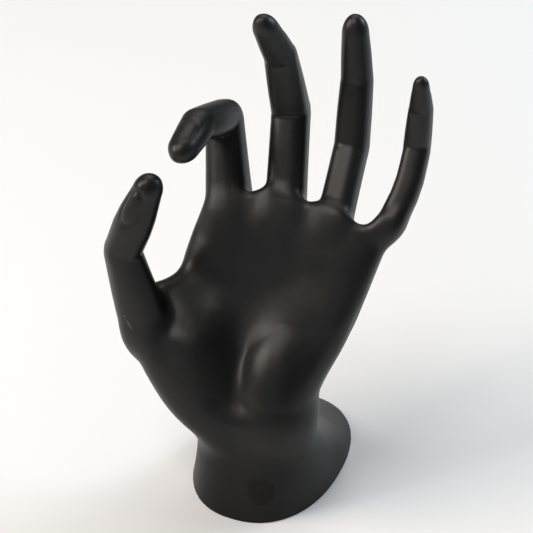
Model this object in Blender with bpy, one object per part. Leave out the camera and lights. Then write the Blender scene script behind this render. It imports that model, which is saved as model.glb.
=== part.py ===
"""Hand jewelry stand: a slender left hand with its thumb and index finger curled toward each
other, on a wrist that flares out to an oval foot. It is cast in one piece, so it is one solid.

Lengths are in millimetres and angles in degrees, and the mesh is made in metres. The origin is
the middle of the flat underside, +Z is up, the palm faces -Y and the thumb is on -X.

Inside the hand, a place is (across, depth, up): across runs from the thumb's side to the little
finger's, depth runs out of the palm, and up runs from the wrist to the fingertips. The whole form
is one field, whose value is below zero inside: each bone, the palm and its pads are rounded bars
or eggs, and soft unions run them together as flesh does. A net of faces is then laid over the
surface where the field is zero, thinned where it is nearly flat, and cut level underneath.
"""

import bpy
import numpy as np

MM = 0.001

# How the hand stands on its foot
HAND_LEAN = 26.0  # back from upright
WRIST_HEIGHT = 27.0  # middle of the wrist above the table
WRIST_FORWARD = 23.65  # middle of the wrist in front of the foot's middle
WRIST_ASIDE = 1.0  # the wrist stands this far from the foot's middle, toward the little finger

# Foot and flared wrist
FOOT_WIDTH = 52.4
FOOT_LENGTH = 76.0
FLARE_HEIGHT = 29.0  # where the flare has narrowed to the wrist
STUB_WIDTH = 43.0
STUB_FRONT = 32.15  # front of the wrist, forward of the foot's middle
STUB_BACK = -3.75  # back of the wrist, behind the foot's middle
STUB_TOP = 40.0
FOOT_SQUARENESS = 2.26  # 2 is an oval; a higher power fills its corners
SIDE_FLARE = 1.5  # a higher power makes a tighter curve near the table
BACK_FLARE = 1.3
WRIST_CREASE = 3.0  # blend under the heel of the hand
WRIST_FILLET = 7.0  # blend behind the wrist

# Palm
PALM_LENGTH = 77.0  # wrist to the middle finger's knuckle
PALM_WIDTH = 65.0
PALM_THICKNESS = 18.0
WEB_SLOPE = 0.8  # the web between the fingers drops by this much for each mm toward the back
WEB_EDGE = 4.0  # its highest line runs this far to the palm's side of the bones
HOLLOW_DEPTH = 34.5  # half thickness of the egg that hollows the palm
SLAB_SQUARENESS = 3.0  # 2 is an oval section, and more is squarer

# Fingers: bone lengths from the knuckle in the palm, and widths at the joints
INDEX_NEAR_BONE = 35.2
INDEX_MIDDLE_BONE = 21.6
INDEX_END_BONE = 13.2
INDEX_ROOT_WIDTH = 16.6
INDEX_MIDDLE_WIDTH = 12.6
INDEX_END_WIDTH = 11.7
INDEX_TIP_WIDTH = 10.4

MIDDLE_NEAR_BONE = 37.2
MIDDLE_MIDDLE_BONE = 26.6
MIDDLE_END_BONE = 14.2
MIDDLE_ROOT_WIDTH = 14.2
MIDDLE_MIDDLE_WIDTH = 13.2
MIDDLE_END_WIDTH = 10.9
MIDDLE_TIP_WIDTH = 8.7

RING_NEAR_BONE = 28.7
RING_MIDDLE_BONE = 23.0
RING_END_BONE = 16.6
RING_ROOT_WIDTH = 12.2
RING_MIDDLE_WIDTH = 11.8
RING_END_WIDTH = 10.9
RING_TIP_WIDTH = 9.2

LITTLE_NEAR_BONE = 29.4
LITTLE_MIDDLE_BONE = 14.7
LITTLE_END_BONE = 9.8
LITTLE_ROOT_WIDTH = 9.8
LITTLE_MIDDLE_WIDTH = 9.0
LITTLE_END_WIDTH = 8.0
LITTLE_TIP_WIDTH = 5.6

FINGER_SQUARENESS = (3.2, 2.8, 2.3)  # of the near, the middle and the end bone
WAISTS = (0.98, 1.03, 1.03)  # width halfway along each bone, in means of its ends
JOINT_SHARE = 0.1  # of a bone's length at each end, where it runs into the joint
TIP_DOME = 1.6  # how long the rounded end of a fingertip is, in half widths

# Thumb
THUMB_PALM_BONE = 42.0
THUMB_NEAR_BONE = 32.2
THUMB_END_BONE = 25.9
THUMB_ROOT_WIDTH = 17.0
THUMB_JOINT_WIDTH = 14.0
THUMB_TIP_WIDTH = 11.0

# How the net of faces is laid
CELL = 1.35
COARSE = 4  # fine cells along one coarse cell
FAR = 12.0  # nothing is measured farther than this from a bar
FACES = 10200  # triangles left after thinning
BELOW = 3.0  # the field runs on under the table by this much, and is cut off there


def unit(vectors):
    """The same directions, each with length one."""
    vectors = np.asarray(vectors, float)
    return vectors / np.linalg.norm(vectors, axis=-1, keepdims=True)


def aim(spread, tilt):
    """The direction that is turned from straight up, toward the little finger and out of the palm."""
    s, t = np.radians([spread, tilt])
    return np.array([np.sin(s) * np.cos(t), np.sin(t), np.cos(s) * np.cos(t)])


def bend(direction, side, angle):
    """The direction after the finger bends toward its palm face about the side-to-side line."""
    a = np.radians(-angle)
    return direction * np.cos(a) + np.cross(side, direction) * np.sin(a)


def cut_corners(rows, times):
    """Each pass puts two points, at a quarter and three quarters of every side, in place of its corners."""
    rows = np.asarray(rows, float)
    for _ in range(times):
        start, end = rows[:-1], rows[1:]
        cut = np.stack([0.75 * start + 0.25 * end, 0.25 * start + 0.75 * end], 1)
        rows = np.concatenate([rows[:1], cut.reshape(-1, rows.shape[1])[1:-1], rows[-1:]])
    return rows


def soft_union(a, b, blend):
    """The nearer of two distances, rounded over where they differ by less than the blend."""
    near = np.maximum(blend - np.abs(a - b), 0) / blend
    return np.minimum(a, b) - near * near * blend / 4


def soft_cut(a, b, blend):
    """What is left of a once b is taken out of it, with a rounded edge."""
    return -soft_union(-a, b, blend)


def section(scaled, radii, power):
    """How far out a place is in a section, with its rim at one, and how steeply that grows outward.

    A power of 2 gives an oval and a higher one squarer corners.
    """
    ratio = np.maximum((scaled**power).sum(0) ** (1 / power), 1e-6)
    return ratio, np.sqrt(((scaled ** (power - 1) / radii) ** 2).sum(0)) * ratio ** (1 - power)


def bar(points, side, sizes, power, cap=1.0, smooth=1):
    """A rounded bar along the points, as a function that gives the distance to its surface.

    side is its side-to-side line; sizes holds half width, depth on the palm face and depth on the
    back, point by point. A power of 2 gives an oval section and a higher one squarer corners. Both
    side and power are one for the whole bar, or one for each point.
    """
    points = np.asarray(points, float)
    sides = np.broadcast_to(np.asarray(side, float), points.shape)
    powers = np.broadcast_to(np.asarray(power, float), len(points))[:, None]
    rows = cut_corners(np.concatenate([points, sides, np.asarray(sizes, float), powers], 1), smooth)
    centre, side_at, size_at, power_at = rows[:, :3], rows[:, 3:6], rows[:, 6:9], rows[:, 9]
    steps = centre[1:] - centre[:-1]
    along = unit(np.concatenate([steps[:1], steps[:-1] + steps[1:], steps[-1:]]))
    reach = size_at.max() + FAR
    low, high = centre.min(0) - reach, centre.max(0) + reach

    def nearest(places):
        """The step of the bar that each place is nearest to, and how far along that step."""
        best = np.full(len(places), np.inf)
        step = np.zeros(len(places), int)
        share = np.zeros(len(places))
        for i, d in enumerate(steps):
            t = np.clip((places - centre[i]) @ d / (d @ d), 0, 1)
            gap = places - centre[i] - t[:, None] * d
            gap = (gap * gap).sum(1)
            closer = gap < best
            best[closer], share[closer], step[closer] = gap[closer], t[closer], i
        return step, share

    def distance(places):
        result = np.full(len(places), FAR)
        close = ((places > low) & (places < high)).all(1)
        if not close.any():
            return result
        step, share = nearest(places[close])
        t = share[:, None]
        axis = unit(along[step] * (1 - t) + along[step + 1] * t)
        across = side_at[step] * (1 - t) + side_at[step + 1] * t
        across = unit(across - (across * axis).sum(1)[:, None] * axis)
        size = size_at[step] * (1 - t) + size_at[step + 1] * t
        offset = places[close] - centre[step] * (1 - t) - centre[step + 1] * t
        x = (offset * across).sum(1)
        y = (offset * np.cross(axis, across)).sum(1)
        past_end = ((step == 0) & (share <= 0)) | ((step == len(steps) - 1) & (share >= 1))
        z = np.where(past_end, (offset * axis).sum(1), 0)
        depth = np.where(y > 0, size[:, 1], size[:, 2])
        end = size[:, 1:].mean(1) * cap
        radii = np.array([size[:, 0], depth])
        squareness = power_at[step] * (1 - share) + power_at[step + 1] * share
        flat, steep = section(np.abs([x, y]) / radii, radii, squareness)
        ratio = np.sqrt(flat * flat + (z / end) ** 2)
        slope = np.sqrt((flat * steep) ** 2 + (z / end**2) ** 2) / np.maximum(ratio, 1e-6)
        result[close] = np.where(ratio > 1e-5, (ratio - 1) / np.maximum(slope, 1e-6), -depth)
        return result

    return distance


def egg(centre, radii, lean=0.0):
    """An egg-shaped lump, as a function that gives the distance to its surface. It leans across."""
    a = np.radians(lean)
    axes = np.array([[np.cos(a), 0, -np.sin(a)], [0, 1, 0], [np.sin(a), 0, np.cos(a)]])
    centre, radii = np.array(centre, float), np.array(radii, float)

    def distance(places):
        local = (places - centre) @ axes.T
        near = np.linalg.norm(local / radii, axis=1)
        slope = np.maximum(np.linalg.norm(local / radii**2, axis=1), 1e-9)
        return near * (near - 1) / slope

    return distance


def palm_place(across, depth, up):
    """A place in the palm: across in half palm widths and up in palm lengths."""
    return np.array([across * PALM_WIDTH / 2, depth, up * PALM_LENGTH])


INDEX_ROOT = palm_place(-0.66, -2.5, 0.952)
MIDDLE_ROOT = palm_place(-0.05, -2.0, 1.0)
RING_ROOT = palm_place(0.486, -2.0, 1.02)
LITTLE_ROOT = palm_place(1.07, -1.9, 1.06)
THUMB_ROOT = palm_place(-0.30, 2.0, 0.075)


def finger(root, spread, tilt, roll, bends, turns, bones, widths):
    """A finger's three bones as one bar, from its root in the palm.

    The roll turns the plane that it bends in, and at each joint it also turns a little toward the
    little finger. The bar creases at a joint on the palm's side and runs round it on the back.
    """
    side = np.array([np.cos(np.radians(roll)), np.sin(np.radians(roll)), 0.0])
    direction = aim(spread, tilt)
    side = unit(side - (side @ direction) * direction)
    halves = np.array(widths) / 2
    places, sides, sizes, powers = [], [], [], []
    start = root
    for i, length in enumerate(bones):
        if i:
            turn = np.radians(turns[i - 1])
            direction = bend(direction, side, bends[i - 1])
            direction = np.cos(turn) * direction + np.sin(turn) * side
            side = unit(side - (side @ direction) * direction)
        for share in (JOINT_SHARE, 0.5, 1 - JOINT_SHARE, 1.0):
            half = halves[i] + share * (halves[i + 1] - halves[i])
            half *= 1 + (WAISTS[i] - 1) * 4 * share * (1 - share)
            places.append(start + share * length * direction)
            sides.append(side)
            sizes.append((half, 0.97 * half, 0.97 * half))
            powers.append(FINGER_SQUARENESS[i])
        start = start + length * direction
    return bar(places, sides, sizes, powers, cap=TIP_DOME)


def finger_settings():
    """What each of the four fingers is made from, index first."""
    return [
        (
            INDEX_ROOT, -14.5, -2.6, 4.0, (98.5, 23.0), (0.0, 0.0),
            (INDEX_NEAR_BONE, INDEX_MIDDLE_BONE, INDEX_END_BONE),
            (INDEX_ROOT_WIDTH, INDEX_MIDDLE_WIDTH, INDEX_END_WIDTH, INDEX_TIP_WIDTH),
        ),
        (
            MIDDLE_ROOT, -9.5, -8.4, -2.2, (53.4, 9.3), (2.4, -9.0),
            (MIDDLE_NEAR_BONE, MIDDLE_MIDDLE_BONE, MIDDLE_END_BONE),
            (MIDDLE_ROOT_WIDTH, MIDDLE_MIDDLE_WIDTH, MIDDLE_END_WIDTH, MIDDLE_TIP_WIDTH),
        ),
        (
            RING_ROOT, -3.1, -21.4, 3.5, (29.6, 15.4), (1.0, -1.0),
            (RING_NEAR_BONE, RING_MIDDLE_BONE, RING_END_BONE),
            (RING_ROOT_WIDTH, RING_MIDDLE_WIDTH, RING_END_WIDTH, RING_TIP_WIDTH),
        ),
        (
            LITTLE_ROOT, 7.0, -10.6, 0.0, (40.9, 11.7), (-1.5, 0.0),
            (LITTLE_NEAR_BONE, LITTLE_MIDDLE_BONE, LITTLE_END_BONE),
            (LITTLE_ROOT_WIDTH, LITTLE_MIDDLE_WIDTH, LITTLE_END_WIDTH, LITTLE_TIP_WIDTH),
        ),
    ]


def thumb():
    """(palm bone with the muscle over it, the two free bones), as two fields."""
    side = unit((-0.35, -0.93, -0.1))
    root, joint, tip = THUMB_ROOT_WIDTH / 2, THUMB_JOINT_WIDTH / 2, THUMB_TIP_WIDTH / 2
    knuckle = THUMB_ROOT + THUMB_PALM_BONE * aim(-51.5, 14.1)
    middle = knuckle + THUMB_NEAR_BONE * aim(-10.8, 27.5)
    end = middle + THUMB_END_BONE * aim(21.3, 19.1)
    places = [THUMB_ROOT + share * (knuckle - THUMB_ROOT) for share in (0, 0.3, 0.72, 1)]
    palm_bone = bar(
        places, side, [(10, 12, 12), (11, 14, 13.4), (10, 12, 10.0), (root, root, root - 2.5)], 2.3, smooth=2
    )
    near = [knuckle + share * (middle - knuckle) for share in (0, 0.5, 1 - JOINT_SHARE)]
    far = [middle + share * (end - middle) for share in (0, JOINT_SHARE, 0.5, 1)]
    free_bones = bar(
        near + far, side,
        [
            (root, root + 3.5, joint - 0.6), (joint + 0.6, joint + 2.4, joint + 0.6),
            (joint + 0.1, joint, joint - 0.8), (joint, joint - 0.4, joint - 0.9),
            (joint + 0.1, joint - 0.3, joint - 0.7),
            (joint + 0.2, joint + 0.1, joint + 0.4), (tip, tip - 0.3, tip - 0.4),
        ],
        (3.0, 3.0, 3.0, 2.8, 2.5, 2.5, 2.5), cap=1.25,
    )
    return palm_bone, free_bones


def palm():
    """The palm with its webs, the hollow in its middle and the pad on the little finger's side."""
    half, thick = PALM_WIDTH / 2, PALM_THICKNESS / 2
    across = (1.0, 0, 0)
    rows = (
        (-0.08, 0.0, 0.05, 0.5, 1.08, 1.2),
        (-0.125, 0.0, 0.208, 0.66, 1.11, 1.17),
        (-0.11, 0.0, 0.442, 0.86, 1.0, 1.11),
        (-0.075, 0.0, 0.675, 1.02, 0.93, 1.07),
        (0.01, -1.0, 0.883, 1.03, 0.96, 1.0),
        (0.12, -2.0, 1.1, 1.03, 0.84, 0.9),
    )  # place across, depth and up; half width; thickness to the palm face and to the back
    web_line = [
        (-1.23, 0.922), (-0.92, 1.006), (-0.68, 1.052), (-0.46, 1.11), (-0.39, 1.143), (-0.25, 1.125),
        (-0.06, 1.119), (0.12, 1.125), (0.25, 1.14), (0.34, 1.125), (0.52, 1.117), (0.71, 1.091),
        (0.8, 1.083), (0.95, 1.096), (1.14, 1.117), (1.35, 1.143),
    ]  # across and up
    web_line = cut_corners(web_line, 2) * (half, PALM_LENGTH)
    rows = cut_corners([(row[0] * half, row[1], row[2] * PALM_LENGTH, *row[3:]) for row in rows], 3)

    def slab(places):
        place_x, place_y, half_width, face, back = (
            np.interp(places[:, 2], rows[:, 2], rows[:, k]) for k in (0, 1, 3, 4, 5)
        )
        x, y = places[:, 0] - place_x, places[:, 1] - place_y
        depth = np.where(y > 0, face, back) * thick
        radii = np.array([half_width * half, depth])
        ratio, slope = section(np.abs([x, y]) / radii, radii, SLAB_SQUARENESS)
        sides = np.where(ratio > 1e-5, (ratio - 1) / np.maximum(slope, 1e-6), -depth)
        top = np.interp(places[:, 0], web_line[:, 0], web_line[:, 1])
        top = top - WEB_SLOPE * np.maximum(WEB_EDGE - places[:, 1], 0)
        sides = soft_cut(sides, (top - places[:, 2]) / np.hypot(1, WEB_SLOPE), 3)
        return soft_cut(sides, places[:, 2] - rows[0, 2], 6)

    hollow = egg(palm_place(0.0, 40.0, 0.675), (60.0, HOLLOW_DEPTH, 62.0))
    low_pad = egg(palm_place(0.148, 3.0, 0.273), (11.3, 11.6, 20.5), lean=2.0)
    high_pad = egg(palm_place(0.338, 0.5, 0.481), (13.2, 9.6, 19.0), lean=30.0)

    def distance(places):
        body = soft_cut(slab(places), hollow(places), 4)
        return soft_union(body, soft_union(low_pad(places), high_pad(places), 6), 2.5)

    return distance


def thumb_mass():
    """The muscle at the thumb's root and the web between the thumb and the palm."""
    muscle = egg(palm_place(-0.715, 5.0, 0.377), (13.0, 12.5, 23.0), lean=-21.0)
    web = bar(
        [palm_place(-0.677, 1.0, 0.545), palm_place(-0.954, 3.0, 0.571), palm_place(-1.262, 9.0, 0.532)],
        (0, 0, -1.0), [(7, 6, 6), (6, 5, 5), (6, 5, 5)], 2.4, smooth=2,
    )
    return lambda places: soft_union(muscle(places), web(places), 8)


def web_dip():
    """The small dip in the palm beside the thumb's web."""
    return egg(palm_place(-0.68, 23.2, 0.665), (15.0, 15.0, 15.0))


def stub(places):
    """The wrist that flares to the oval foot, with more spread behind than in front."""
    rise = 1 - np.clip(places[:, 2] / FLARE_HEIGHT, 0, 1)
    sides, behind = rise**SIDE_FLARE, rise**BACK_FLARE
    half = (STUB_WIDTH + (FOOT_WIDTH - STUB_WIDTH) * sides) / 2
    front = STUB_FRONT + (FOOT_LENGTH / 2 - STUB_FRONT) * sides
    back = STUB_BACK + (FOOT_LENGTH / 2 - STUB_BACK) * behind
    x = places[:, 0] - WRIST_ASIDE * (1 - sides)
    y = places[:, 1] - (back - front) / 2
    length = np.sqrt(x * x + y * y)
    scaled = np.abs([x / half, 2 * y / (front + back)]) ** FOOT_SQUARENESS
    ratio = np.maximum(scaled.sum(0) ** (1 / FOOT_SQUARENESS), 1e-6)
    wall = length - length / ratio
    wall = soft_cut(wall, STUB_TOP - places[:, 2], 6)
    return np.maximum(wall, -BELOW - places[:, 2])


def hand_field():
    """The whole form as one function of places in millimetres."""
    lean = np.radians(HAND_LEAN)
    wrist = np.array([WRIST_ASIDE, -WRIST_FORWARD, WRIST_HEIGHT])
    axes = np.array([[1, 0, 0], [0, -np.cos(lean), np.sin(lean)], [0, np.sin(lean), np.cos(lean)]])
    palm_body, mass, dip = palm(), thumb_mass(), web_dip()
    four = [finger(*settings) for settings in finger_settings()]
    thumb_root, thumb_free = thumb()

    def distance(places):
        local = (places - wrist) @ axes.T
        body = soft_union(palm_body(local), soft_union(mass(local), thumb_root(local), 6), 4)
        body = soft_cut(body, dip(local), 5)
        body = soft_union(body, thumb_free(local), 4)
        spread = four[0](local)
        for one in four[1:]:
            spread = soft_union(spread, one(local), 2)
        body = soft_union(body, spread, 2)
        crease_to_fillet = np.interp(local[:, 1], (-6, 6), (WRIST_FILLET, WRIST_CREASE))
        return soft_union(body, stub(places), crease_to_fillet)

    return distance


def near_cells(field, low, shape):
    """The field on a fine grid: worked out near the surface, and only its sign elsewhere."""
    coarse_shape = (shape - 1) // COARSE + 1
    corners = np.indices(coarse_shape).reshape(3, -1).T
    rough = field(low + CELL * COARSE * corners).reshape(coarse_shape)
    near = np.abs(rough) < 1.8 * CELL * COARSE
    blocks = np.zeros(coarse_shape - 1, bool)
    for i, j, k in np.ndindex(2, 2, 2):
        blocks |= near[i : near.shape[0] - 1 + i, j : near.shape[1] - 1 + j, k : near.shape[2] - 1 + k]
    repeated = [np.where(rough[:-1, :-1, :-1] < 0, -FAR, FAR), blocks]
    for axis in range(3):
        repeated = [np.repeat(array, COARSE, axis) for array in repeated]
    values, wanted = (np.pad(array, ((0, 1),) * 3, mode="edge") for array in repeated)
    for axis in range(3):
        front = np.moveaxis(wanted, axis, 0)
        front[1:] |= front[:-1]
    values[wanted] = field(low + CELL * np.argwhere(wanted))
    return values


def join_touching(values):
    """Fills grid points where two parts of the solid would meet only along an edge or at a point."""
    for _ in range(6):
        inside = values < 0
        fill = np.zeros_like(inside)
        for axis in range(3):
            state, filled = np.moveaxis(inside, axis, 0), np.moveaxis(fill, axis, 0)
            a, b, c, d = state[:, :-1, :-1], state[:, 1:, :-1], state[:, :-1, 1:], state[:, 1:, 1:]
            filled[:, 1:, :-1] |= a & d & ~b & ~c
            filled[:, :-1, :-1] |= b & c & ~a & ~d
        corners = {one: inside[tuple(slice(i, n - 1 + i) for i, n in zip(one, inside.shape))]
                   for one in np.ndindex(2, 2, 2)}
        count = sum(corner.astype(int) for corner in corners.values())
        for one, corner in corners.items():
            facing = corners[tuple(1 - i for i in one)]
            apart = (corner & facing & (count == 2)) | (~corner & ~facing & (count == 6))
            fill[:-1, :-1, :-1] |= apart
            fill[1:, :-1, :-1] |= apart
        fill &= ~inside
        if not fill.any():
            break
        values[fill] = -0.1 * CELL
    return values


def net(field, low, high):
    """Points and four-sided faces over the surface where the field is zero.

    Each cell that the surface crosses gets one point, at the mean of the crossings on its edges,
    and each grid line that crosses the surface gets one face, between the four cells round it.
    """
    shape = np.ceil((high - low) / (CELL * COARSE)).astype(int) * COARSE + 1
    values = join_touching(near_cells(field, low, shape))
    inside = values < 0
    corner = np.array(list(np.ndindex(2, 2, 2)))
    count = sum(inside[tuple(slice(c, n - 1 + c) for c, n in zip(one, shape))].astype(int) for one in corner)
    cells = np.argwhere((count > 0) & (count < 8))
    number = np.full(shape - 1, -1)
    number[tuple(cells.T)] = np.arange(len(cells))
    at = np.stack([values[tuple((cells + one).T)] for one in corner], 1)
    total = np.zeros((len(cells), 3))
    crossings = np.zeros(len(cells))
    for a, b in [(a, b) for a in range(8) for b in range(a) if abs(corner[a] - corner[b]).sum() == 1]:
        crossed = (at[:, a] < 0) != (at[:, b] < 0)
        share = np.where(crossed, at[:, a] / np.where(crossed, at[:, a] - at[:, b], 1), 0)[:, None]
        total += np.where(crossed[:, None], corner[a] + share * (corner[b] - corner[a]), 0)
        crossings += crossed
    points = low + CELL * (cells + total / crossings[:, None])
    faces = []
    for axis in range(3):
        u, v = np.eye(3, dtype=int)[[(axis + 1) % 3, (axis + 2) % 3]]
        state = np.moveaxis(inside, axis, 0)
        ends = np.moveaxis(np.argwhere(state[:-1] != state[1:]), 1, 0)
        order = np.argsort([axis] + [i for i in range(3) if i != axis])
        line = ends[order].T
        around = np.stack([number[tuple((line - step).T)] for step in (0 * u, u, u + v, v)], 1)
        backward = ~inside[tuple(line.T)]
        around[backward] = around[backward][:, ::-1]
        faces.append(around)
    return points, np.concatenate(faces)


def onto_surface(field, points, step=0.02):
    """The points moved along the field's slope to where it is zero."""
    slope = np.stack([field(points + step * e) - field(points - step * e) for e in np.eye(3)], 1) / (2 * step)
    steep = np.maximum((slope * slope).sum(1), 0.1)
    return points - np.clip(field(points) / steep, -CELL, CELL)[:, None] * slope


def clear_scene():
    """Removes every object that the file starts with."""
    for obj in list(bpy.data.objects):
        bpy.data.objects.remove(obj, do_unlink=True)


def satin_black():
    """Satin black resin."""
    material = bpy.data.materials.new("satin_black_resin")
    material.use_nodes = True
    shader = material.node_tree.nodes["Principled BSDF"]
    shader.inputs["Base Color"].default_value = (0.022, 0.021, 0.020, 1)
    shader.inputs["Roughness"].default_value = 0.4
    shader.inputs["Metallic"].default_value = 0.0
    return material


def add_mesh(name, points, faces):
    """An object in the scene from points in millimetres."""
    mesh = bpy.data.meshes.new(name)
    mesh.from_pydata((points * MM).tolist(), [], faces.tolist())
    obj = bpy.data.objects.new(name, mesh)
    bpy.context.scene.collection.objects.link(obj)
    return obj


def table_cutter():
    """A block whose top is the table, to cut the foot off level."""
    x, y, z = FOOT_WIDTH, FOOT_LENGTH, 4 * BELOW
    corners = np.array(list(np.ndindex(2, 2, 2)), float) * (2, 2, 1) - (1, 1, 1)
    sides = np.array([(0, 1, 3, 2), (4, 6, 7, 5), (0, 4, 5, 1), (2, 3, 7, 6), (0, 2, 6, 4), (1, 5, 7, 3)])
    cutter = add_mesh("table_cutter", corners * (x, y, z), sides)
    cutter.hide_render = True
    cutter.display_type = "WIRE"
    return cutter


def hand_stand():
    """The cast hand on its foot."""
    field = hand_field()
    low = np.array([-PALM_WIDTH, -FOOT_LENGTH, -2 * BELOW])
    reach = MIDDLE_NEAR_BONE + MIDDLE_MIDDLE_BONE + MIDDLE_END_BONE + MIDDLE_TIP_WIDTH
    high = np.array([PALM_WIDTH, FOOT_LENGTH, WRIST_HEIGHT + PALM_LENGTH + reach])
    points, faces = net(field, low, high)
    points = onto_surface(field, points)
    stand = add_mesh("hand_stand", points, faces)
    stand.data.materials.append(satin_black())
    thin = stand.modifiers.new("thin", "DECIMATE")
    thin.ratio = FACES / (2 * len(faces))
    level = stand.modifiers.new("level", "BOOLEAN")
    level.object = table_cutter()
    level.operation = "DIFFERENCE"
    level.solver = "EXACT"
    for polygon in stand.data.polygons:
        polygon.use_smooth = True
    return stand


clear_scene()
hand_stand()
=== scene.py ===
import bmesh
import bpy
import numpy as np
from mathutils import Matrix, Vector


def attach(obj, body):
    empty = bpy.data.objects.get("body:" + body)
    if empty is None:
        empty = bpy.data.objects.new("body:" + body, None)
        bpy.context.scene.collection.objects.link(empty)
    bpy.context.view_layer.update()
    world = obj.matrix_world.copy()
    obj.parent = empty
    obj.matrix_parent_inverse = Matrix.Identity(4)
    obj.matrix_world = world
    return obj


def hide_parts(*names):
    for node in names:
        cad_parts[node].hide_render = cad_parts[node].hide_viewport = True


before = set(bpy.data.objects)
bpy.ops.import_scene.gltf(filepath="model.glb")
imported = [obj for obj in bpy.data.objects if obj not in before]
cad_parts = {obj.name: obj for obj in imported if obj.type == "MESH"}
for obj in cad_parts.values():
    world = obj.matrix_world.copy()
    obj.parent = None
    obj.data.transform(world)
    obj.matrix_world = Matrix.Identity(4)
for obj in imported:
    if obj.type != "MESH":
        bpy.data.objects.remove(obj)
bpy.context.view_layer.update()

# The stand. A slender left hand on a flared wrist, poured in one piece of filled resin from a carved
# master and sprayed satin black. Its form is a field of distances in millimetres, below zero inside,
# of bars and eggs run together; a net of faces lies where it is zero, with nails and creases cut in.

MM = 0.001

# How the hand stands on its foot
HAND_LEAN = 26.0  # back from upright
WRIST_HEIGHT = 27.0  # middle of the wrist above the table
WRIST_FORWARD = 23.65  # middle of the wrist in front of the foot's middle
WRIST_ASIDE = 1.0  # the wrist stands this far from the foot's middle, toward the little finger

# Foot and flared wrist
FOOT_WIDTH = 52.4
FOOT_LENGTH = 76.0
FLARE_HEIGHT = 29.0  # where the flare has narrowed to the wrist
STUB_WIDTH = 43.0
STUB_FRONT = 32.15  # front of the wrist, forward of the foot's middle
STUB_BACK = -3.75  # back of the wrist, behind the foot's middle
STUB_TOP = 40.0
FOOT_SQUARENESS = 2.26  # 2 is an oval; a higher power fills its corners
SIDE_FLARE = 1.5  # a higher power makes a tighter curve near the table
BACK_FLARE = 1.3
WRIST_CREASE = 6.0  # blend under the heel of the hand
WRIST_FILLET = 7.0  # blend behind the wrist
WRIST_TURN = (-6.0, 6.0)  # depths in the hand between which the second turns into the first
STUB_BLEND = 6.0  # rounds the top of the wrist, inside the palm

# Palm
PALM_LENGTH = 77.0  # wrist to the middle finger's knuckle
PALM_WIDTH = 65.0
PALM_THICKNESS = 18.0
WEB_SLOPE = 0.8  # the web between the fingers drops by this much for each mm toward the back
WEB_EDGE = 4.0  # its highest line runs this far to the palm's side of the bones
WEB_BLEND = 4.0  # rounds the edge of the webs
HEEL_BLEND = 6.0  # rounds the lower end of the palm, inside the wrist
HOLLOW_DEPTH = 34.5  # half thickness of the egg that hollows the palm
HOLLOW_BLEND = 4.0
DIP_BLEND = 8.0  # edge of the dip beside the thumb's web
SLAB_SQUARENESS = 3.0  # 2 is an oval section, and more is squarer

# Pad on the little finger's side: how softly it runs into the palm
PAD_BLEND = 6.0  # its own two eggs into each other
PAD_SHARP = 2.0  # at the crease, low in the middle of the palm
PAD_SIDE = 7.0  # on the little finger's side
PAD_SOFT = 8.0  # toward the fingers
PAD_ACROSS = (-6.0, 6.0)  # across the palm, the crease turns into the soft side between these
PAD_UP = (24.0, 50.0)  # up the palm, it softens toward the fingers between these

# Fingers: bone lengths from the knuckle in the palm, and widths at the joints
INDEX_NEAR_BONE = 35.2
INDEX_MIDDLE_BONE = 21.6
INDEX_END_BONE = 13.2
INDEX_ROOT_WIDTH = 16.6
INDEX_MIDDLE_WIDTH = 12.6
INDEX_END_WIDTH = 11.7
INDEX_TIP_WIDTH = 10.4

MIDDLE_NEAR_BONE = 37.2
MIDDLE_MIDDLE_BONE = 26.6
MIDDLE_END_BONE = 14.2
MIDDLE_ROOT_WIDTH = 14.2
MIDDLE_MIDDLE_WIDTH = 13.2
MIDDLE_END_WIDTH = 10.9
MIDDLE_TIP_WIDTH = 8.7

RING_NEAR_BONE = 28.7
RING_MIDDLE_BONE = 23.0
RING_END_BONE = 16.6
RING_ROOT_WIDTH = 12.2
RING_MIDDLE_WIDTH = 11.8
RING_END_WIDTH = 10.9
RING_TIP_WIDTH = 9.2

LITTLE_NEAR_BONE = 29.4
LITTLE_MIDDLE_BONE = 14.7
LITTLE_END_BONE = 9.8
LITTLE_ROOT_WIDTH = 9.8
LITTLE_MIDDLE_WIDTH = 9.0
LITTLE_END_WIDTH = 8.0
LITTLE_TIP_WIDTH = 5.6

FINGER_SQUARENESS = (2.7, 2.5, 2.2)  # of the near, the middle and the end bone
WAISTS = (0.98, 1.03, 1.03)  # width halfway along each bone, in means of its ends
FINGER_DEPTH = 0.97  # half depth of a finger, in half widths
JOINT_SHARE = 0.1  # of a bone's length at each end, where it runs into the joint
SHARP_BEND = 60.0  # a finger bent more than this at a joint is rounded further
LITTLE_BOW = 2.0  # the first bone of the little finger bows outward by this
TIP_DOME = 1.6  # how long the rounded end of a fingertip is, in half widths
FINGER_BLEND = 2.0  # between two fingers
ROOT_BLENDS = (5.0, 6.0)  # fingers into the palm, and the same at its little finger's edge
ROOT_ACROSS = (24.0, 34.0)  # across the palm, the first turns into the second between these

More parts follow.
